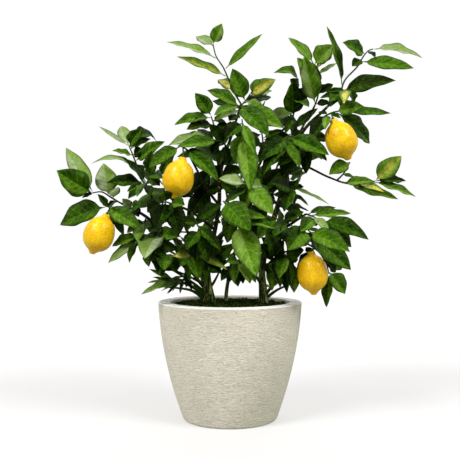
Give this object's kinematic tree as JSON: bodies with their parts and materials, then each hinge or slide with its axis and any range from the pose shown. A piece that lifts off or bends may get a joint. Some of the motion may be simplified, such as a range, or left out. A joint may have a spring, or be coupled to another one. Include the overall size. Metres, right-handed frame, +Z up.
{
  "type": "potted lemon tree",
  "caption": "Bushy potted citrus tree: leafy sprays on woody stems with hanging yellow fruit, in a round cement-look pot that tapers down to a narrow flat base.",
  "frame": {"origin": "centre of the pot's flat underside", "axes": "+Z up along the pot's axis, -Y towards the front, +X to the right seen from the front"},
  "size_m": [0.7165, 0.4102, 0.7777],
  "materials": {
    "pot_cement": "matte",
    "potting_soil": "matte",
    "bark": "matte",
    "leaf": "satin",
    "lemon_skin": "satin"
  },
  "bodies": {
    "root": {"pot": "pot_cement", "soil": "potting_soil", "stem_left": "bark", "stem_front": "bark", "stem_middle": "bark", "stem_right": "bark", "lemon_left": "lemon_skin", "lemon_upper": "lemon_skin", "lemon_right": "lemon_skin", "lemon_low": "lemon_skin", "crown_left": "leaf", "crown_fan": "leaf", "crown_front": "leaf", "upper_left": "leaf", "shelf_left": "leaf", "left_top": "leaf", "left_mid": "leaf", "far_left": "leaf", "far_left_low": "leaf", "left_low": "leaf", "left_inner": "leaf", "lemon_shoot_left": "leaf", "centre_high": "leaf", "centre_tall": "leaf", "centre_mid": "leaf", "centre_low": "leaf", "centre_left": "leaf", "centre_left_low": "leaf", "top_centre": "leaf", "top_tall": "leaf", "right_top": "leaf", "right_top_low": "leaf", "right_mid": "leaf", "right_inner": "leaf", "right_low_mid": "leaf", "right_low_tip": "leaf", "low_right_top": "leaf", "low_right_mid": "leaf", "low_right_lemon": "leaf", "low_right_inner": "leaf", "right_core": "leaf", "right_core_low": "leaf", "low_left_front": "leaf", "low_left_mid": "leaf", "low_left_ground": "leaf", "low_middle": "leaf", "back_left": "leaf", "back_left_low": "leaf", "back_middle": "leaf", "back_middle_low": "leaf", "back_right": "leaf", "back_right_low": "leaf", "back_far_right": "leaf", "back_far_right_low": "leaf", "inner_left": "leaf", "inner_middle": "leaf", "inner_low": "leaf", "inner_right": "leaf", "inner_top": "leaf", "back_top": "leaf"}
  },
  "joints": []
}
